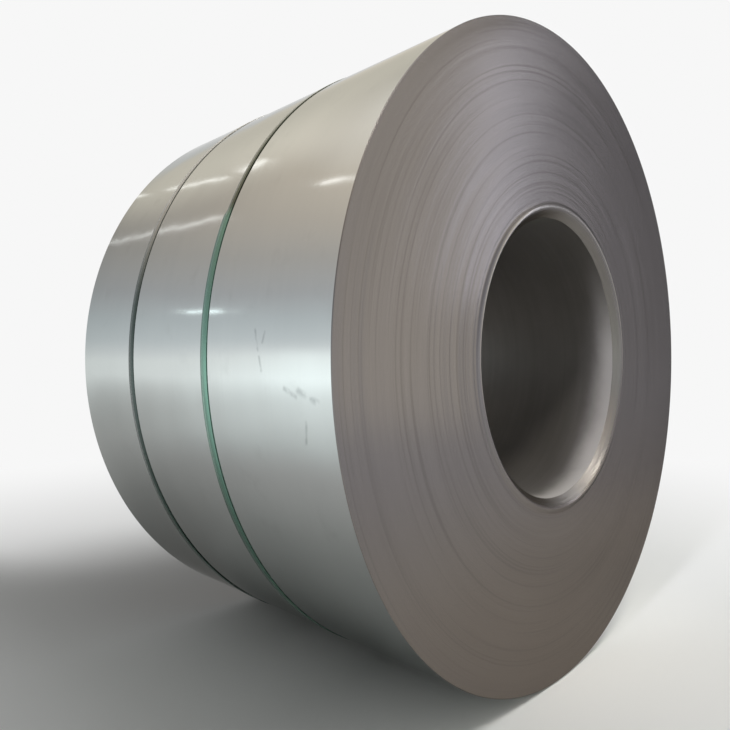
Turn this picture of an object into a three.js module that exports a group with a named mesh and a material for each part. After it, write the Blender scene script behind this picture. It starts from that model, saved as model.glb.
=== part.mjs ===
// A coil of bright steel strip, lying on its side, held shut by two flat straps round its body.
// Millimetres, +Z up. The coil's axis runs along Y and its front end faces -Y.
// The origin is on the floor, midway along the coil's whole length.

import * as THREE from 'three';

// The strip and the size it is wound to.
const boreDiameter = 610;
const outerDiameter = 1400;
const stripWidth = 850;

// The first turns on the mandrel sit back from the front end, and stand out at the rear.
const headBuildUp = 20;
const headShift = 14;

// The next turns make a lip round the bore, proud of the front end, with a slope down to it.
const lipBuildUp = 18;
const lipSlope = 13;
const lipShift = -4;

// The rest goes on in batches. A batch that ran a little to one side leaves a step on both ends.
const batchCount = 6;
const batchShift = 1.2;

// Handling rubs the last turn's edges down.
const rimChamfer = 1.5;

// Flat plastic straps, pulled tight round the body.
const strapWidth = 19;
const strapThickness = 1;
const strapClearance = 0.3;
const frontStrapFromEnd = 330;
const rearStrapFromEnd = 610;

// Faces round every turned piece.
const facets = 144;

const boreRadius = boreDiameter / 2;
const outerRadius = outerDiameter / 2;
const halfWidth = stripWidth / 2;
const headRadius = boreRadius + headBuildUp;
const lipRadius = headRadius + lipBuildUp;
const batchBuildUp = (outerRadius - lipRadius) / batchCount;
const strapInnerRadius = outerRadius + strapClearance;
const strapOuterRadius = strapInnerRadius + strapThickness;

// The straps carry the coil: its axis lies as far above the floor as their flats lie from it.
const halfFacet = Math.PI / facets;
const axisHeight = strapOuterRadius * Math.cos(halfFacet);

// The lip reaches past the strip's width at the front, and the first turns at the rear.
const middleOfLength = (lipShift + headShift) / 2;

const brightSteel = new THREE.MeshStandardMaterial({
  color: 0x9fa3a2,
  roughness: 0.25,
  metalness: 1,
});
const greenStrap = new THREE.MeshStandardMaterial({
  color: 0x1f6b4a,
  roughness: 0.35,
  metalness: 0,
});
const darkGreenStrap = new THREE.MeshStandardMaterial({
  color: 0x3c4f49,
  roughness: 0.45,
  metalness: 0,
});

// One end's outline from the bore out to the rim. Side is -1 for the front end and 1 for the rear.
// Every turn is as wide as the strip, so what sits back at one end stands out at the other.
function endOutline(side) {
  const end = side * halfWidth;
  const points = [
    new THREE.Vector2(boreRadius, end + headShift),
    new THREE.Vector2(headRadius, end + headShift),
    new THREE.Vector2(headRadius, end + lipShift),
    new THREE.Vector2(lipRadius - lipSlope, end + lipShift),
  ];
  for (let i = 0; i < batchCount; i += 1) {
    const shift = i % 2 === 0 ? 0 : batchShift;
    const start = lipRadius + i * batchBuildUp;
    points.push(new THREE.Vector2(start, end + shift));
    points.push(new THREE.Vector2(start + batchBuildUp, end + shift));
  }
  const rim = points.pop();
  points.push(new THREE.Vector2(rim.x - rimChamfer, rim.y));
  points.push(new THREE.Vector2(rim.x, rim.y - side * rimChamfer));
  return points;
}

// A closed outline turned once round the axis, with one of its flats at the bottom.
function turned(name, outline, material) {
  const closed = [...outline, outline[0].clone()];
  const mesh = new THREE.Mesh(new THREE.LatheGeometry(closed, facets), material);
  mesh.name = name;
  mesh.rotation.y = halfFacet;
  return mesh;
}

function makeCoil() {
  const outline = [...endOutline(-1), ...endOutline(1).reverse()];
  return turned('coil', outline, brightSteel);
}

function makeStrap(name, fromFrontEnd, material) {
  const low = fromFrontEnd - strapWidth / 2 - halfWidth;
  const high = low + strapWidth;
  const section = [
    new THREE.Vector2(strapInnerRadius, low),
    new THREE.Vector2(strapOuterRadius, low),
    new THREE.Vector2(strapOuterRadius, high),
    new THREE.Vector2(strapInnerRadius, high),
  ];
  return turned(name, section, material);
}

const steelCoil = new THREE.Group();
steelCoil.position.set(0, -middleOfLength, axisHeight);
steelCoil.add(makeCoil());
steelCoil.add(makeStrap('strap_front', frontStrapFromEnd, greenStrap));
steelCoil.add(makeStrap('strap_rear', rearStrapFromEnd, darkGreenStrap));

export default steelCoil;
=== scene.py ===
"""A coil of bright steel strip lying on its side, held by two plastic straps."""
import math

import bpy
import numpy as np
from mathutils import Matrix, Vector


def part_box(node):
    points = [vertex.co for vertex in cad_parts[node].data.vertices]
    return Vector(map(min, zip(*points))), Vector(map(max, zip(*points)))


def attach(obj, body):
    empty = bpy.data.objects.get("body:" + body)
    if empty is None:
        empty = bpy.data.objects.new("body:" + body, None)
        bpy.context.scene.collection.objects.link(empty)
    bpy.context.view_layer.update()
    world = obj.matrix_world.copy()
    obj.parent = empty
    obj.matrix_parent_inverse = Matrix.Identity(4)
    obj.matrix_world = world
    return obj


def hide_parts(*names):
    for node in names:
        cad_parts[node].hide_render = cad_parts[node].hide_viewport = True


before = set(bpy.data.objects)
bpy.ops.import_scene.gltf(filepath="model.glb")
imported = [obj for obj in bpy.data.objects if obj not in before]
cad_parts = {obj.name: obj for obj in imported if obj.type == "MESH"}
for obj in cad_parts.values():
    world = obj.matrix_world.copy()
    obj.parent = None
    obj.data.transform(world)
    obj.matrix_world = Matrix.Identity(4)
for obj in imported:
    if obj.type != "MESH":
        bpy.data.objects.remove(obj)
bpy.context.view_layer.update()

# ---------------------------------------------------------------- sizes, in metres

coil_low, coil_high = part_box("coil")
band_low, band_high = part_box("strap_front")
rear_band_low, rear_band_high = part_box("strap_rear")

AXIS_HEIGHT = (coil_low.z + coil_high.z) / 2
RIM_RADIUS = (coil_high.x - coil_low.x) / 2
BAND_RADIUS = (band_high.x - band_low.x) / 2
BAND_WIDTH = band_high.y - band_low.y
BAND_THICKNESS = 0.001

# The bore and the turns round it: the flared head turns, then the lip that stands proud.
BORE_RADIUS = 0.305
HEAD_BUILD_UP = 0.020
HEAD_SHIFT = 0.014
LIP_BUILD_UP = 0.018
LIP_SLOPE = 0.013
LIP_PROUD = 0.004
HEAD_RADIUS = BORE_RADIUS + HEAD_BUILD_UP
LIP_RADIUS = HEAD_RADIUS + LIP_BUILD_UP
LIP_FOOT_RADIUS = HEAD_RADIUS + LIP_SLOPE

# The batches of turns between the lip and the rim. Their steps are a tenth as high as those of
# the solids, and each is eased over a slope.
BATCH_COUNT = 6
BATCH_BUILD_UP = (RIM_RADIUS - LIP_RADIUS) / BATCH_COUNT
BATCH_STEP = 0.00012
BATCH_SLOPE = 0.014

# The plane of each end, where a batch of turns lies unshifted.
FRONT_END = coil_low.y + LIP_PROUD
REAR_END = coil_high.y - HEAD_SHIFT
RIM_ROUNDING = 0.0015


# ---------------------------------------------------------------- node building

class Socket:
    """A number, colour or vector in a node tree. The operators are for numbers alone."""

    def __init__(self, nodes, socket):
        self.nodes = nodes
        self.socket = socket

    def math(self, operation, *others):
        """One Math node's result from this number and the others, in this order."""
        values = dict(enumerate((self, *others)))
        return self.nodes.add("ShaderNodeMath", {"operation": operation}, values)

    def reflected(self, operation, other):
        """The same with the two sides changed over."""
        return self.nodes.add("ShaderNodeMath", {"operation": operation}, {0: other, 1: self})

    def __add__(self, other):
        return self.math("ADD", other)

    def __radd__(self, other):
        return self.math("ADD", other)

    def __sub__(self, other):
        return self.math("SUBTRACT", other)

    def __rsub__(self, other):
        return self.reflected("SUBTRACT", other)

    def __mul__(self, other):
        return self.math("MULTIPLY", other)

    def __rmul__(self, other):
        return self.math("MULTIPLY", other)

    def __truediv__(self, other):
        return self.math("DIVIDE", other)

    def __rtruediv__(self, other):
        return self.reflected("DIVIDE", other)

    def __pow__(self, other):
        return self.math("POWER", other)

    def __rpow__(self, other):
        return self.reflected("POWER", other)

    def ramp(self, start, end):
        """0 at start and before it, 1 at end and past it, eased between them."""
        values = {"Value": self, "From Min": start, "From Max": end}
        return self.nodes.add("ShaderNodeMapRange", {"interpolation_type": "SMOOTHSTEP"}, values)

    def peak(self, centre, half_width):
        """1 at centre, falling to 0 half_width away on both sides."""
        return (self - centre).math("ABSOLUTE").ramp(half_width, 0.0)


class Nodes:
    """A node tree and the one way a node is put into it."""

    def __init__(self, tree):
        self.tree = tree
        tree.nodes.clear()

    def add(self, kind, settings=None, values=None, output=0):
        """Adds a node, makes its settings, fills its sockets and returns one output."""
        node = self.tree.nodes.new(kind)
        for name, setting in (settings or {}).items():
            if name == "stops":
                self.set_stops(node.color_ramp, setting)
            else:
                setattr(node, name, setting)
        for key, value in (values or {}).items():
            if isinstance(value, Socket):
                self.tree.links.new(value.socket, node.inputs[key])
            else:
                node.inputs[key].default_value = value
        if not node.outputs:
            return None
        return Socket(self, node.outputs[output])

    @staticmethod
    def set_stops(ramp, stops):
        """Gives a colour ramp its stops, each a place from 0 to 1 and a colour."""
        while len(ramp.elements) < len(stops):
            ramp.elements.new(1.0)
        for element, (place, colour) in zip(ramp.elements, stops):
            element.position = place
            element.color = (*colour, 1.0)

    def colour_between(self, low, high, factor):
        """Low where factor is 0, high where it is 1."""
        low = low if isinstance(low, Socket) else (*low, 1.0)
        high = high if isinstance(high, Socket) else (*high, 1.0)
        values = {0: factor, 6: low, 7: high}
        return self.add("ShaderNodeMix", {"data_type": "RGBA"}, values, output=2)

    def noise(self, place, scale, detail=2.0, roughness=0.5):
        """Cloudy noise from 0 to 1, about 0.5 on average, in scale waves a metre."""
        values = {"Vector": place, "Scale": scale, "Detail": detail, "Roughness": roughness}
        return self.add("ShaderNodeTexNoise", None, values)

    def vector(self, x, y, z):
        """A vector from three numbers."""
        return self.add("ShaderNodeCombineXYZ", None, {0: x, 1: y, 2: z})


class Coordinates:
    """Places on the coil: x, y, z above the coil's axis, and the radius from that axis."""

    def __init__(self, nodes):
        self.nodes = nodes
        place = nodes.add("ShaderNodeTexCoord", None, None, output=3)
        split = {"Vector": place}
        self.x = nodes.add("ShaderNodeSeparateXYZ", None, split, output=0)
        self.y = nodes.add("ShaderNodeSeparateXYZ", None, split, output=1)
        self.z = nodes.add("ShaderNodeSeparateXYZ", None, split, output=2) - AXIS_HEIGHT
        self.radius = (self.x * self.x + self.z * self.z).math("SQRT")

    def along_turns(self, stretch):
        """A place on the skin in which a pattern is drawn out along the turns by stretch times."""
        return self.nodes.vector(self.x / stretch, self.y, self.z / stretch)

    def across_turns(self, stretch):
        """The same on an end, where the turns lie one outside the other."""
        return self.nodes.vector(self.x / stretch, self.radius, self.z / stretch)


def new_material(name):
    """A material and its emptied node tree."""
    material = bpy.data.materials.new(name)
    material.use_nodes = True
    return material, Nodes(material.node_tree)


def finish_material(nodes, values):
    """Puts a Principled shader with these socket values on the material's output."""
    shader = nodes.add("ShaderNodeBsdfPrincipled", None, values)
    nodes.add("ShaderNodeOutputMaterial", None, {"Surface": shader})


def bumped(nodes, height, distance):
    """A Normal for a relief in which a height of 1 stands distance metres proud."""
    return nodes.add("ShaderNodeBump", None, {"Height": height, "Distance": distance})


# ---------------------------------------------------------------- finishes

# Scratches and scuffs on the skin's left side: from (y, z), to (y, z), half width, in metres.
SKIN_SCRATCHES = (
    ((-0.250, 0.747), (-0.260, 0.708), 0.0045),
    ((-0.277, 0.741), (-0.270, 0.722), 0.0045),
    ((-0.262, 0.702), (-0.268, 0.676), 0.0045),
    ((-0.322, 0.652), (-0.350, 0.638), 0.007),
    ((-0.352, 0.650), (-0.399, 0.631), 0.009),
    ((-0.369, 0.605), (-0.362, 0.566), 0.0045),
)


def stroke(at, start, end, width):
    """1 along a line on the left side of the coil, from (y, z) to (y, z), else 0."""
    run_y, run_z = end[0] - start[0], end[1] - start[1]
    length = math.hypot(run_y, run_z)
    run_y, run_z = run_y / length, run_z / length
    y = at.y - start[0]
    z = at.z + AXIS_HEIGHT - start[1]
    aside = y * run_z - z * run_y
    ahead = y * run_y + z * run_z
    middle = ahead.peak(length / 2, length / 2 + width)
    return aside.peak(0.0, width) * middle.ramp(0.0, 0.3) * at.x.ramp(-0.3, -0.4)


def steel_skin():
    """The outer turn: bright rolled sheet, with drawn lines, shallow dents, smears, scratches."""
    material, nodes = new_material("steel_skin")
    at = Coordinates(nodes)
    rolling = nodes.noise(at.along_turns(60.0), 90.0, 4.0, 0.6)
    haze = nodes.noise(at.along_turns(3.0), 7.0, 3.0, 0.55)
    smears = nodes.noise(at.along_turns(1.0), 16.0, 5.0, 0.6).ramp(0.55, 0.8)
    dents = nodes.noise(at.along_turns(1.6), 9.0, 1.0, 0.4)
    tone = rolling * 0.35 + haze * 0.65
    colour = nodes.colour_between((0.73, 0.75, 0.745), (0.81, 0.82, 0.81), tone)
    colour = nodes.colour_between(colour, (0.62, 0.63, 0.62), smears * 0.3)
    # Painted shade: the skin is darker towards the bottom, standing in for the shade it mirrors
    # there.
    painted_low_shade = (at.z + haze * 0.1).ramp(-0.3, -0.65)
    colour = nodes.colour_between(colour, (0.50, 0.505, 0.48), painted_low_shade * 0.3)
    scratches = stroke(at, *SKIN_SCRATCHES[0])
    for scratch in SKIN_SCRATCHES[1:]:
        scratches = scratches.math("MAXIMUM", stroke(at, *scratch))
    scratches = scratches * nodes.noise(at.along_turns(1.0), 60.0).ramp(0.3, 0.6)
    colour = nodes.colour_between(colour, (0.40, 0.42, 0.42), scratches * 0.5)
    roughness = 0.085 + haze * 0.05 + smears * 0.06 + scratches * 0.08
    relief = bumped(nodes, rolling * 0.04 + dents, 0.0010)
    finish_material(nodes, {
        "Base Color": colour,
        "Metallic": 1.0,
        "Specular Tint": (0.54, 0.55, 0.54, 1.0),
        "Roughness": roughness,
        "Normal": relief,
    })
    return material


def turn_edges():
    """The ends: hundreds of sheared strip edges side by side, greyer than the skin.

    The first turns are painted lighter where lamps reach, with a painted highlight atop the edge.
    """
    material, nodes = new_material("turn_edges")
    at = Coordinates(nodes)
    fine = nodes.noise(at.across_turns(200.0), 650.0, 2.0, 0.55)
    coarse = nodes.noise(at.across_turns(40.0), 70.0, 3.0, 0.55)
    cloud = nodes.noise(at.across_turns(1.0), 5.0, 3.0, 0.5)
    tone = fine * 0.35 + coarse * 0.4 + cloud * 0.25
    colour = nodes.colour_between((0.212, 0.198, 0.195), (0.310, 0.289, 0.284), tone)
    # Painted shade: the ends turn darker and browner towards the bottom.
    painted_low_shade = at.z.ramp(-0.05, -0.5)
    colour = nodes.colour_between(colour, (0.19, 0.145, 0.10), painted_low_shade * 0.4)
    inner = at.radius.ramp(HEAD_RADIUS + 0.001, BORE_RADIUS + 0.010)
    roughness = 0.19 + cloud * 0.07 + inner * 0.1
    gaps = nodes.noise(at.across_turns(160.0), 190.0, 1.0).ramp(0.56, 0.70)
    colour = nodes.colour_between(colour, (0.16, 0.145, 0.135), gaps * 0.35)
    # Painted light and shade on the first turns: light on the side the lamps reach, dark
    # elsewhere.
    painted_lit_side = at.x.ramp(-0.10, 0.08) * (at.z.ramp(0.1, -0.15) * 0.65 + 0.35)
    first_turns_light_and_shade = nodes.colour_between((0.135, 0.122, 0.106), (0.36, 0.34, 0.32), painted_lit_side)
    colour = nodes.colour_between(colour, first_turns_light_and_shade, inner)
    # Painted highlight along the lip's crest, on its upper half only.
    painted_lip_highlight = at.radius.peak(HEAD_RADIUS + 0.002, 0.006) * at.z.ramp(-0.15, 0.15)
    colour = nodes.colour_between(colour, (0.50, 0.48, 0.46), painted_lip_highlight * 0.7)
    relief = bumped(nodes, fine, 0.00003)
    finish_material(nodes, {
        "Base Color": colour,
        "Metallic": 0.9,
        "Specular Tint": (0.3, 0.3, 0.3, 1.0),
        "Roughness": roughness,
        "Normal": relief,
    })
    return material


def bore_wall():
    """The first turn from inside: dark and stained, with painted light near the ends."""
    material, nodes = new_material("bore_wall")
    at = Coordinates(nodes)
    rolling = nodes.noise(at.along_turns(40.0), 80.0, 3.0, 0.6)
    stains = nodes.noise(at.along_turns(1.5), 9.0, 4.0, 0.55)
    tone = rolling * 0.4 + stains * 0.6
    colour = nodes.colour_between((0.18, 0.17, 0.16), (0.30, 0.285, 0.27), tone)
    from_middle = at.y.math("ABSOLUTE") + stains * 0.05
    # Painted light: paler, less metallic and smoother near each end, except at the top of the
    # bore.
    rubbed_and_painted_light = from_middle.ramp(0.375, 0.44) * at.z.ramp(0.25, 0.0)
    colour = nodes.colour_between(colour, (0.62, 0.60, 0.57), rubbed_and_painted_light)
    roughness = 0.36 + stains * 0.15 - rubbed_and_painted_light * 0.08
    relief = bumped(nodes, rolling, 0.0001)
    finish_material(nodes, {
        "Base Color": colour,
        "Metallic": 0.65 - rubbed_and_painted_light * 0.3,
        "Roughness": roughness,
        "Normal": relief,
    })
    return material


def strapping(name, dark, light, upper, start, end, metallic, roughness):
    """Flat strap of tinted plastic, worn paler in places, with painted shade low down.

    Between two heights over the axis, start and end, it changes to the colour of its upper part.
    A metallic share lets the steel under it shine through.
    """
    material, nodes = new_material(name)
    at = Coordinates(nodes)
    drawn = nodes.noise(at.along_turns(50.0), 300.0, 2.0, 0.5)
    rubbed_and_painted_light = nodes.noise(at.along_turns(1.0), 30.0, 4.0, 0.6)
    tone = drawn * 0.5 + rubbed_and_painted_light * 0.5
    colour = nodes.colour_between(dark, light, tone)
    colour = nodes.colour_between(colour, upper, at.z.ramp(start, end))
    # Painted shade: the strap darkens towards the bottom.
    painted_low_shade = at.z.ramp(-0.12, -0.42)
    colour = nodes.colour_between(colour, (0.04, 0.09, 0.06), painted_low_shade * 0.6)
    relief = bumped(nodes, drawn, 0.0001)
    finish_material(nodes, {
        "Base Color": colour,
        "Metallic": metallic,
        "Roughness": roughness + rubbed_and_painted_light * 0.12,
        "Normal": relief,
    })
    return material


def seen_or_mirrored(nodes):
    """1 for a ray that is seen by the camera, in a mirror or through glass, and 0 for the rest."""
    camera = nodes.add("ShaderNodeLightPath", None, None, output=0)
    glossy = nodes.add("ShaderNodeLightPath", None, None, output=3)
    through = nodes.add("ShaderNodeLightPath", None, None, output=6)
    return camera.math("MAXIMUM", glossy).math("MAXIMUM", through)


def share_towards(across, along, heading, outer, inner):
    """1 within inner degrees of a heading and 0 beyond outer degrees of it, at any height."""
    middle = direction(heading, 0.0)
    level = (across * across + along * along).math("SQRT")
    ahead = (across * middle.x + along * middle.y) / level
    return ahead.ramp(math.cos(math.radians(outer)), math.cos(math.radians(inner)))


def floor_paint():
    """Plain pale floor that keeps the coil's shadow, with a painted shadow close round the coil.

    What is seen or mirrored of it takes on the tone of the walls with the distance from the coil.
    That happens slowly where the shadow falls: on the left side and behind the rear end.
    """
    material, nodes = new_material("floor_paint")
    at = Coordinates(nodes)
    right_side = at.x.ramp(-0.3, 0.3)
    left_share = at.y.ramp(2.6, 0.0) * 0.35 + 0.6
    beside = (at.x.math("ABSOLUTE") - RIM_RADIUS).math("MAXIMUM", 0.0)
    beside = beside * right_side.math("MAXIMUM", left_share)
    before_front = at.y.ramp(0.0, -0.2)
    right_of_shadow = (at.x + at.y * SHADOW_SLANT).ramp(-0.4, 0.1) * at.y.ramp(0.5, 1.6)
    beyond = (at.y.math("ABSOLUTE") - REAR_END).math("MAXIMUM", 0.0)
    beyond = beyond * right_of_shadow.math("MAXIMUM", before_front)
    clear = (beside * beside + beyond * beyond).math("SQRT")
    far = ((clear / FLOOR_FADE) ** 0.7).ramp(0.0, 1.0) * seen_or_mirrored(nodes)
    tone = nodes.colour_between(PLAIN_WALL, GREY_WALL, share_towards(at.x, at.y, *GREY_SIDE))
    tone = nodes.colour_between(tone, BRIGHT_WALL, share_towards(at.x, at.y, *BRIGHT_SIDE))
    ahead = share_towards(at.x - VIEWPOINT[0], at.y - VIEWPOINT[1], *BACKDROP_SIDE)
    tone = nodes.colour_between(tone, WHITE_WALL, ahead)
    # Painted shadow: the paint is darker close round the coil, as a deeper contact shadow.
    painted_foot_shadow = at.x.math("ABSOLUTE").ramp(1.0, 0.35) * at.y.ramp(-0.5, -0.1) * at.y.ramp(1.5, 0.6)
    colour = nodes.colour_between((0.84, 0.85, 0.83), (0.62, 0.625, 0.615), painted_foot_shadow)
    paint = nodes.add("ShaderNodeBsdfDiffuse", None, {"Color": colour})
    white = nodes.add("ShaderNodeEmission", None, {"Color": tone})
    mixed = nodes.add("ShaderNodeMixShader", None, {0: far, 1: paint, 2: white})
    nodes.add("ShaderNodeOutputMaterial", None, {"Surface": mixed})
    return material


# ---------------------------------------------------------------- surfaces

def waves(angle, along, rng, count, most_round, most_along):
    """A gentle uneven surface: a sum of count sines of angle and along, over the root of count.

    Each sine takes a whole number of waves round the coil, up to most_round, so that it meets
    itself, and a random phase and slope along it. The result lies mostly between -1 and 1.
    along is any measure across the turns, such as the place along the axis or the radius.
    """
    total = np.zeros(np.broadcast(angle, along).shape)
    for _ in range(count):
        around = rng.integers(1, most_round + 1)
        slope = rng.uniform(-most_along, most_along)
        phase = rng.uniform(0, 2 * math.pi)
        total = total + np.sin(around * angle + slope * along + phase)
    return total / math.sqrt(count)


def angles_round(columns):
    """Equal steps once round the axis, as one row."""
    return np.linspace(0, 2 * math.pi, columns, endpoint=False)[None, :]


def carried_round(outline_radius, outline_along, columns):
    """The angles, and an outline's radii and places along the axis repeated at each of them."""
    radius = np.repeat(outline_radius[:, None], columns, 1)
    along = np.repeat(outline_along[:, None], columns, 1)
    return angles_round(columns), radius, along


def closed_surface(name, radius, along, materials, band_of_material, sharp_lines):
    """A closed outline carried round the coil's axis.

    radius and along are arrays of rows (outline points) by columns (angles). A point lies
    radius from the axis at its angle, along metres down the axis, so the surface is
    (radius cos a, along, height + radius sin a). Rows and columns both close on themselves.
    band_of_material gives the material's number for the faces past each outline point.
    """
    rows, columns = radius.shape
    angle = angles_round(columns)
    points = np.stack([
        radius * np.cos(angle),
        along,
        AXIS_HEIGHT + radius * np.sin(angle),
    ], axis=-1).reshape(-1, 3)
    row = np.arange(rows)[:, None]
    column = np.arange(columns)[None, :]
    next_row = (row + 1) % rows
    next_column = (column + 1) % columns
    corners = np.stack([
        row * columns + column,
        next_row * columns + column,
        next_row * columns + next_column,
        row * columns + next_column,
    ], axis=-1).reshape(-1, 4)
    mesh = bpy.data.meshes.new(name)
    mesh.from_pydata(points, [], corners)
    mesh.polygons.foreach_set("use_smooth", np.ones(len(corners), bool))
    mesh.polygons.foreach_set("material_index", np.repeat(band_of_material, columns))
    mark_sharp(mesh, sharp_lines, rows, columns)
    for material in materials:
        mesh.materials.append(material)
    piece = bpy.data.objects.new(name, mesh)
    bpy.context.scene.collection.objects.link(piece)
    return piece


def mark_sharp(mesh, sharp_lines, rows, columns):
    """Marks the edges that run round the coil along these outline points as creases."""
    ends = np.empty(2 * len(mesh.edges), np.int32)
    mesh.edges.foreach_get("vertices", ends)
    row_of = ends.reshape(-1, 2) // columns
    is_line = np.zeros(rows, bool)
    is_line[list(sharp_lines)] = True
    sharp = (row_of[:, 0] == row_of[:, 1]) & is_line[row_of[:, 0]]
    attribute = mesh.attributes.new("sharp_edge", "BOOLEAN", "EDGE")
    attribute.data.foreach_set("value", sharp)


def eased(value, start, end):
    """0 at start, 1 at end, with level ends: t * t * (3 - 2 t) of the share t in between."""
    share = np.clip((value - start) / (end - start), 0.0, 1.0)
    return share * share * (3.0 - 2.0 * share)


def ring_heights(radii, rng, pitch, uneven, groove):
    """How far each radius on an end stands out, as a wound edge does.

    The end is split into rings of about pitch. Each ring takes a random height of up to
    uneven, and sinks by groove towards its two edges along half a sine.
    """
    ring = (radii - radii.min()) / pitch
    number = np.floor(ring).astype(int)
    heights = rng.uniform(-uneven, uneven, number.max() + 1)
    return heights[number] - groove * (1 - np.sin(math.pi * (ring - number)))


# ---------------------------------------------------------------- the coil

COIL_COLUMNS = 288
END_POINTS = 150
SKIN_POINTS = 36
SKIN_BUCKLE = 0.00022
END_WANDER = 0.00008

# The rings near the bore are coarser: fully so up to one radius, and no more past another.
COARSE_RADIUS = 0.40
FINE_RADIUS = 0.52


def batch_steps(radii):
    """The step of each batch of turns: a steep sine over the batches, cut to 0 and BATCH_STEP."""
    batch = (radii - LIP_RADIUS) / BATCH_BUILD_UP
    wave = np.sin(math.pi * batch) * BATCH_BUILD_UP / BATCH_SLOPE
    return BATCH_STEP * np.clip(0.5 - wave, 0.0, 1.0)


def make_main_turns(skin, edges):
    """All the turns outside the lip: front end, skin, rear end and a hidden inner wall.

    The ends are rings of uneven height over the batches' steps, coarser near the bore, and wander
    by END_WANDER. The skin sinks by SKIN_BUCKLE times what a gentle sum of sines is short of 1.
    """
    rng = np.random.default_rng(11)
    radii = np.linspace(LIP_RADIUS, RIM_RADIUS - RIM_ROUNDING, END_POINTS)
    relief = ring_heights(radii, rng, pitch=0.0092, uneven=0.000025, groove=0.00002)
    near_bore = 1.0 - eased(radii, COARSE_RADIUS, FINE_RADIUS)
    coarse = ring_heights(radii, rng, pitch=0.0140, uneven=0.00005, groove=0.00006)
    relief = relief + near_bore * coarse
    steps = batch_steps(radii)
    front = FRONT_END + steps - relief
    rear = REAR_END + steps[::-1] + relief[::-1]
    skin_along = np.linspace(FRONT_END + RIM_ROUNDING, REAR_END - RIM_ROUNDING, SKIN_POINTS)
    skin_radius = np.full(SKIN_POINTS, RIM_RADIUS)
    outline_radius = np.concatenate([radii, skin_radius, radii[::-1]])
    outline_along = np.concatenate([front, skin_along, rear])
    angle, radius, along = carried_round(outline_radius, outline_along, COIL_COLUMNS)
    count = len(outline_radius)
    first_skin = END_POINTS
    last_skin = END_POINTS + SKIN_POINTS - 1
    on_skin = np.zeros((count, 1))
    on_skin[first_skin + 1:last_skin] = 1
    buckle = waves(angle, along, rng, count=9, most_round=7, most_along=9.0)
    radius = radius + SKIN_BUCKLE * on_skin * (buckle - 1.0)
    wander = waves(angle, 30 * radius, rng, count=6, most_round=3, most_along=5.0)
    along = along + END_WANDER * (1 - on_skin) * wander
    band = np.zeros(count, np.int32)
    band[first_skin:last_skin] = 1
    sharp = (0, END_POINTS - 1, first_skin, last_skin, last_skin + 1, count - 1)
    return closed_surface("coil_turns", radius, along, (edges, skin), band, sharp)


HEAD_COLUMNS = 540
HEAD_POINTS = 56
WALL_POINTS = 60
CREST_ROUNDING = 0.0005
HEAD_RAGGEDNESS = 0.0002


def set_back(radii):
    """How far the first turns lie behind the end's plane: a flare up to a proud, rounded lip.

    Inside the lip's crest the turns fall away by LIP_PROUD + HEAD_SHIFT times the share of the
    way in, raised to 1.25. Outside it they fall back to the plane along LIP_SLOPE, eased. A soft
    maximum of the two rounds the crest.
    """
    inward = np.clip((HEAD_RADIUS - radii) / HEAD_BUILD_UP, 0.0, 1.0)
    flare = (LIP_PROUD + HEAD_SHIFT) * inward ** 1.25 - LIP_PROUD
    outward = eased(radii, HEAD_RADIUS, LIP_FOOT_RADIUS)
    slope = -LIP_PROUD * (1.0 - outward)
    return CREST_ROUNDING * np.logaddexp(flare / CREST_ROUNDING, slope / CREST_ROUNDING)


def make_first_turns(wall, edges):
    """The first turns on the mandrel: the bore's wall, the flared head turns and the lip.

    The head turns are rings of uneven height, and ragged by HEAD_RAGGEDNESS times a surface of
    sines. The rear end mirrors the front one, so the head turns lie back at both ends. Those of
    the solids lie back at the front alone and stand out at the rear.
    """
    rng = np.random.default_rng(23)
    radii = np.linspace(BORE_RADIUS, LIP_RADIUS, HEAD_POINTS)
    profile = set_back(radii)
    inner = np.clip((HEAD_RADIUS - radii) / HEAD_BUILD_UP * 3.0, 0.0, 1.0)
    steps = ring_heights(radii, rng, pitch=0.0017, uneven=0.00025, groove=0.00015) * inner
    front = FRONT_END + profile - steps
    rear = (REAR_END - profile + steps)[::-1]
    wall_along = np.linspace(rear[-1], front[0], WALL_POINTS + 2)[1:-1]
    outline_radius = np.concatenate([radii, radii[::-1], np.full(WALL_POINTS, BORE_RADIUS)])
    outline_along = np.concatenate([front, rear, wall_along])
    angle, radius, along = carried_round(outline_radius, outline_along, HEAD_COLUMNS)
    ragged = waves(angle, 300 * radius, rng, count=10, most_round=30, most_along=3.0)
    on_head = np.concatenate([inner, inner[::-1], np.zeros(WALL_POINTS)])
    along = along + HEAD_RAGGEDNESS * on_head[:, None] * ragged
    band = np.zeros(len(outline_radius), np.int32)
    band[-WALL_POINTS - 1:] = 1
    sharp = (0, HEAD_POINTS - 1, HEAD_POINTS, 2 * HEAD_POINTS - 1)
    return closed_surface("first_turns", radius, along, (edges, wall), band, sharp)


# ---------------------------------------------------------------- the straps

BAND_COLUMNS = 1080
BAND_CORNER = 0.0003
BAND_WANDER = 0.0012

# How many degrees a strap takes to open out before its fold starts, and past the fold's end.
FOLD_START_EASE = 6.0
FOLD_END_EASE = 1.0


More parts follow.
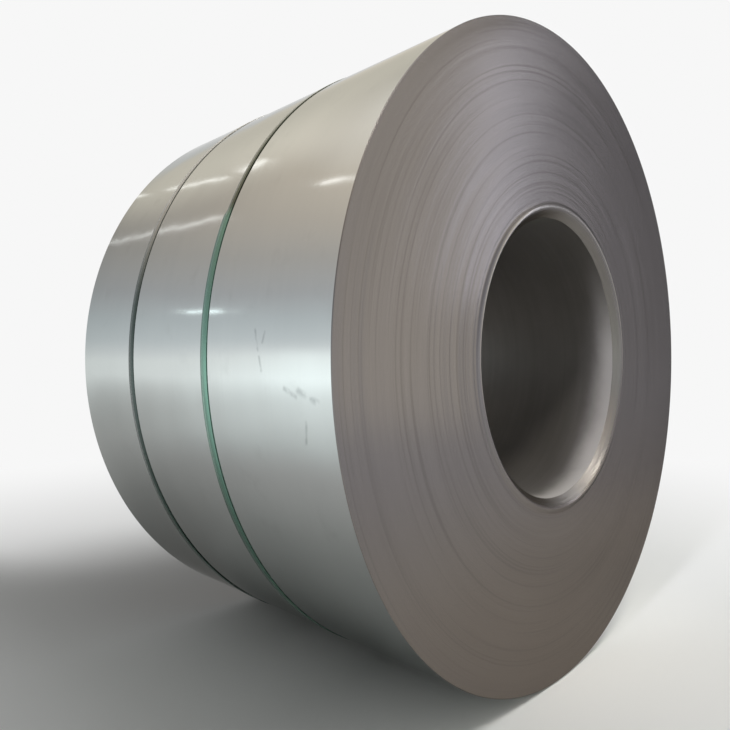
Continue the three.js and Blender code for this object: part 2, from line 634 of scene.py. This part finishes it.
def make_strap(name, low, high, material, seed, fold):
    """A flat strap round the coil: a rectangle with its outer corners cut, carried round.

    It lies midway between the corners low and high of its box, and wanders a little from there
    by a sum of sines. Between the two angles of fold, in degrees, it is folded lengthwise: its
    rear edge comes forward by a share of the width, and eases back past each end of the fold.
    """
    rng = np.random.default_rng(seed)
    half = BAND_WIDTH / 2
    across = np.array([-half, -half, -half + BAND_CORNER, half - BAND_CORNER, half, half])
    flank = BAND_THICKNESS - BAND_CORNER
    outward = np.array([0.0, flank, BAND_THICKNESS, BAND_THICKNESS, flank, 0.0])
    outline_radius = BAND_RADIUS - BAND_THICKNESS + outward
    outline_along = (low.y + high.y) / 2 + across
    angle, radius, along = carried_round(outline_radius, outline_along, BAND_COLUMNS)
    first, last, share = fold
    turned = np.degrees(angle)
    folded = eased(turned, first - FOLD_START_EASE, first)
    folded = folded * eased(turned, last + FOLD_END_EASE, last)
    rear_edge = (across > 0)[:, None] * BAND_WIDTH * share * folded
    wander = waves(angle, 0.0, rng, count=4, most_round=3, most_along=0.0)
    along = along - rear_edge + BAND_WANDER * wander
    band = np.zeros(len(across), np.int32)
    return closed_surface(name, radius, along, (material,), band, (0, 5))


# ---------------------------------------------------------------- stage, light and camera

FLOOR_REACH = 60.0


def make_floor():
    """A flat square under the coil, worked out from its four corners."""
    corner = FLOOR_REACH * np.array([[-1, -1, 0], [1, -1, 0], [1, 1, 0], [-1, 1, 0]], float)
    mesh = bpy.data.meshes.new("floor")
    mesh.from_pydata(corner, [], [(0, 1, 2, 3)])
    mesh.materials.append(floor_paint())
    floor = bpy.data.objects.new("floor", mesh)
    bpy.context.scene.collection.objects.link(floor)


def direction(heading, height):
    """A unit vector: heading in degrees from +Y towards +X, height in degrees above level."""
    across = math.cos(math.radians(height))
    return Vector((
        across * math.sin(math.radians(heading)),
        across * math.cos(math.radians(heading)),
        math.sin(math.radians(height)),
    ))


CAMERA_HEADING = 43.8
CAMERA_TILT = -0.1
CAMERA_PLACE = (-1.3085, -1.0620, 0.6888)
SENSOR_WIDTH = 36.0
LENS_LENGTH = SENSOR_WIDTH * 623.2 / 730.0  # 623.2 pixels in a picture 730 pixels wide
LENS_SHIFT = 0.048

# Parts of the room, by heading: its middle, where it has faded out, where it is full.
BACKDROP_SIDE = (CAMERA_HEADING + 2.2, 47.0, 32.0)
GREY_SIDE = (125.0, 63.3, 41.4)
BRIGHT_SIDE = (-74.0, 42.0, 20.0)
GLOW_SIDE = (28.0, 40.0, 12.0)

# The same by height, level being 0 and straight up 1: where it has faded out, where it is full.
BRIGHT_TOP = (0.06, 0.0)
GLOW_FOOT = (0.42, 0.52)
GLOW_TOP = (0.80, 0.69)

# The backdrop's upper edge in the same way, as its rise for each metre ahead of the camera.
BACKDROP_TOP = (0.66, 0.60)

# The floor takes on the walls' tone over this distance. Its backdrop side is seen from here.
FLOOR_FADE = 3.0
VIEWPOINT = (-1.5, -1.3)

# How far to the left the shadow behind the rear end runs, for each metre along the axis.
SHADOW_SLANT = 0.445

WHITE_WALL = (0.93, 0.93, 0.93)
PLAIN_WALL = (0.86, 0.905, 0.90)
GREY_WALL = (0.63, 0.635, 0.67)
BRIGHT_WALL = (1.18, 1.29, 1.29)
GLOW = (1.06, 0.98, 0.85)
SOFT_LIGHT = (0.30, 0.30, 0.30)

# The walls' tones from level, at 0, to straight up, at 1.
PLAIN_WALL_UPWARDS = (
    (0.0, PLAIN_WALL),
    (0.03, (0.76, 0.80, 0.81)),
    (0.08, (0.62, 0.67, 0.69)),
    (0.17, (0.525, 0.57, 0.59)),
    (0.28, (0.43, 0.44, 0.45)),
    (0.42, (0.44, 0.42, 0.395)),
    (0.56, (0.53, 0.48, 0.42)),
    (0.68, (0.64, 0.572, 0.485)),
    (0.80, (0.95, 0.89, 0.80)),
    (1.0, (1.2, 1.17, 1.10)),
)
GREY_WALL_UPWARDS = (
    (0.0, GREY_WALL),
    (0.10, (0.55, 0.555, 0.59)),
    (0.30, (0.44, 0.445, 0.48)),
    (0.60, (0.46, 0.46, 0.48)),
    (1.0, (1.2, 1.17, 1.10)),
)


def light_world():
    """Soft light from all round, with walls that pale towards floor and ceiling.

    What is seen or mirrored has the tones of the walls: plain, grey on one side, bright low down
    on the left, glowing high up ahead, and a white backdrop up to just over the camera's view.
    The light itself is one plain grey.
    """
    world = bpy.data.worlds.new("studio")
    bpy.context.scene.world = world
    world.use_nodes = True
    nodes = Nodes(world.node_tree)
    towards = nodes.add("ShaderNodeTexCoord", None, None, output=0)
    across = nodes.add("ShaderNodeSeparateXYZ", None, {0: towards}, output=0)
    along = nodes.add("ShaderNodeSeparateXYZ", None, {0: towards}, output=1)
    height = nodes.add("ShaderNodeSeparateXYZ", None, {0: towards}, output=2)
    wall = nodes.add("ShaderNodeValToRGB", {"stops": PLAIN_WALL_UPWARDS}, {"Fac": height})
    grey_wall = nodes.add("ShaderNodeValToRGB", {"stops": GREY_WALL_UPWARDS}, {"Fac": height})
    wall = nodes.colour_between(wall, grey_wall, share_towards(across, along, *GREY_SIDE))
    low_left = share_towards(across, along, *BRIGHT_SIDE) * height.ramp(*BRIGHT_TOP)
    wall = nodes.colour_between(wall, BRIGHT_WALL, low_left)
    glow = share_towards(across, along, *GLOW_SIDE)
    glow = glow * height.ramp(*GLOW_FOOT) * height.ramp(*GLOW_TOP)
    wall = nodes.colour_between(wall, GLOW, glow)
    aim = direction(CAMERA_HEADING, 0.0)
    slope = height / (across * aim.x + along * aim.y)
    backdrop = share_towards(across, along, *BACKDROP_SIDE) * slope.ramp(*BACKDROP_TOP)
    seen = nodes.colour_between(wall, WHITE_WALL, backdrop)
    colour = nodes.colour_between(SOFT_LIGHT, seen, seen_or_mirrored(nodes))
    background = nodes.add("ShaderNodeBackground", None, {"Color": colour, "Strength": 1.0})
    nodes.add("ShaderNodeOutputWorld", None, {"Surface": background})


def hang_lamp(name, lamp, place, turn, mirrored=True):
    """Puts a lamp at a place with a turn. The camera doesn't see it, but mirrors may."""
    holder = bpy.data.objects.new(name, lamp)
    holder.matrix_world = Matrix.Translation(place) @ turn
    holder.visible_camera = False
    holder.visible_glossy = mirrored
    bpy.context.scene.collection.objects.link(holder)


def turned_to(place, target):
    """The turn that makes a lamp at a place shine on a target."""
    return (Vector(target) - Vector(place)).to_track_quat("-Z", "Y").to_matrix().to_4x4()


def add_panel(name, place, target, size, power, colour=(1.0, 1.0, 1.0), mirrored=True):
    """A flat lamp of a width and a length, in metres."""
    lamp = bpy.data.lights.new(name, "AREA")
    lamp.shape = "RECTANGLE"
    lamp.size, lamp.size_y = size
    lamp.energy = power
    lamp.color = colour
    hang_lamp(name, lamp, Vector(place), turned_to(place, target), mirrored)


def add_spot(name, place, target, half_angle, power, colour, softness, mirrored=True):
    """A lamp that lights a cone of a half angle, in degrees, from a ball of a radius in metres."""
    lamp = bpy.data.lights.new(name, "SPOT")
    lamp.color = colour
    lamp.spot_size = math.radians(2 * half_angle)
    lamp.spot_blend = 0.6
    lamp.shadow_soft_size = softness
    lamp.energy = power
    hang_lamp(name, lamp, Vector(place), turned_to(place, target), mirrored)


PANEL_DISTANCE = 4.6
CEILING_HEIGHT = 3.0
TUBE_BRIGHTNESS = 1.35
WARM_LIGHT = (1.0, 0.94, 0.86)


def add_tube(name, near, far, width):
    """A thin lamp under the ceiling, lying from one point to another, as bright at any size."""
    start = Vector((*near, CEILING_HEIGHT))
    end = Vector((*far, CEILING_HEIGHT))
    run = end - start
    lamp = bpy.data.lights.new(name, "AREA")
    lamp.shape = "RECTANGLE"
    lamp.size, lamp.size_y = run.length, width
    lamp.energy = TUBE_BRIGHTNESS * math.pi * run.length * width
    hang_lamp(name, lamp, (start + end) / 2, Matrix.Rotation(math.atan2(run.y, run.x), 4, "Z"))


def light_lamps():
    """A soft key lamp, panels for the front end, spots for the bore, and the room's tubes."""
    add_panel("key_softbox", (3.1, -1.9, 3.9), (-0.2, 0.0, 0.3), size=(2.0, 2.0), power=115.0,
              mirrored=False)
    end_middle = Vector((0.0, -0.43, 0.7))
    for name, heading, height, size, power, colour in (
        ("end_panel", 134.0, 16.0, (1.55, 4.0), 7.2, (1.12, 0.98, 0.60)),
        ("fan_panel", 123.0, 21.0, (0.30, 2.3), 6.2, (0.93, 0.97, 1.12)),
    ):
        place = end_middle + PANEL_DISTANCE * direction(heading, height)
        add_panel(name, place, end_middle, size, power, colour)
    add_panel("bore_glint", (1.1, -1.45, 3.1), (0.15, -0.41, 0.44), size=(0.9, 0.5), power=6.0,
              colour=(1.0, 0.95, 0.88))
    add_spot("bore_lamp", (-3.6, -0.98, 2.5), (0.24, -0.39, 0.60), half_angle=6.0, power=290.0,
             colour=(0.96, 0.95, 1.06), softness=0.2, mirrored=False)
    add_spot("bore_top_lamp", (-0.9, -1.5, 3.6), (0.11, -0.40, 0.42), half_angle=5.0, power=400.0,
             colour=WARM_LIGHT, softness=0.5)
    add_spot("lip_lamp", (1.15, -2.15, 2.1), (0.16, -0.42, 0.45), half_angle=3.4, power=130.0,
             colour=WARM_LIGHT, softness=0.35)
    for name, near, far, width in (
        ("ceiling_tube_a", (-1.31, 4.82), (-1.53, 2.95), 0.05),
        ("ceiling_tube_b", (-1.46, 1.84), (-1.52, 1.56), 0.06),
        ("ceiling_tube_c", (-0.02, 4.00), (-0.24, 3.58), 0.06),
        ("ceiling_tube_d", (-0.38, 3.24), (-0.645, 2.47), 0.05),
        ("ceiling_tube_e", (-0.64, 2.32), (-0.57, 2.04), 0.09),
    ):
        add_tube(name, near, far, width)
    add_panel("wall_tube", (-3.25, 4.15, 1.82), (-0.7, -0.1, 0.78), size=(0.36, 0.04), power=0.12,
              colour=(0.85, 1.0, 1.0))


def make_camera():
    """A short lens level with the coil's axis, off its front left."""
    camera = bpy.data.cameras.new("camera")
    camera.sensor_width = SENSOR_WIDTH
    camera.lens = LENS_LENGTH
    camera.shift_x = LENS_SHIFT
    camera.clip_end = 200.0
    holder = bpy.data.objects.new("camera", camera)
    aim = direction(CAMERA_HEADING, CAMERA_TILT).to_track_quat("-Z", "Y")
    holder.matrix_world = Matrix.Translation(CAMERA_PLACE) @ aim.to_matrix().to_4x4()
    bpy.context.scene.collection.objects.link(holder)
    bpy.context.scene.camera = holder


# ---------------------------------------------------------------- assembly

skin_finish = steel_skin()
edge_finish = turn_edges()
wall_finish = bore_wall()
green_finish = strapping(
    "green_strapping",
    dark=(0.18, 0.35, 0.275),
    light=(0.28, 0.48, 0.39),
    upper=(0.12, 0.13, 0.09),
    start=0.25,
    end=0.29,
    metallic=0.70,
    roughness=0.16,
)
dull_finish = strapping(
    "dull_strapping",
    dark=(0.07, 0.105, 0.095),
    light=(0.12, 0.165, 0.15),
    upper=(0.72, 0.69, 0.62),
    start=0.10,
    end=0.36,
    metallic=0.25,
    roughness=0.20,
)

main_turns = make_main_turns(skin_finish, edge_finish)
first_turns = make_first_turns(wall_finish, edge_finish)
front_strap = make_strap("front_strap_band", band_low, band_high, green_finish, seed=5,
                         fold=(70.0, 157.0, 0.3))
rear_strap = make_strap("rear_strap_band", rear_band_low, rear_band_high, dull_finish, seed=6,
                        fold=(70.0, 150.0, 0.2))

for piece, node, slot in (
    (main_turns, "coil", "bright_steel"),
    (first_turns, "coil", "bright_steel"),
    (front_strap, "strap_front", "green_strap"),
    (rear_strap, "strap_rear", "dark_green_strap"),
):
    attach(piece, "root")
    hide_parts(node)

make_floor()
light_world()
light_lamps()
make_camera()
bpy.context.scene.view_settings.view_transform = "Standard"
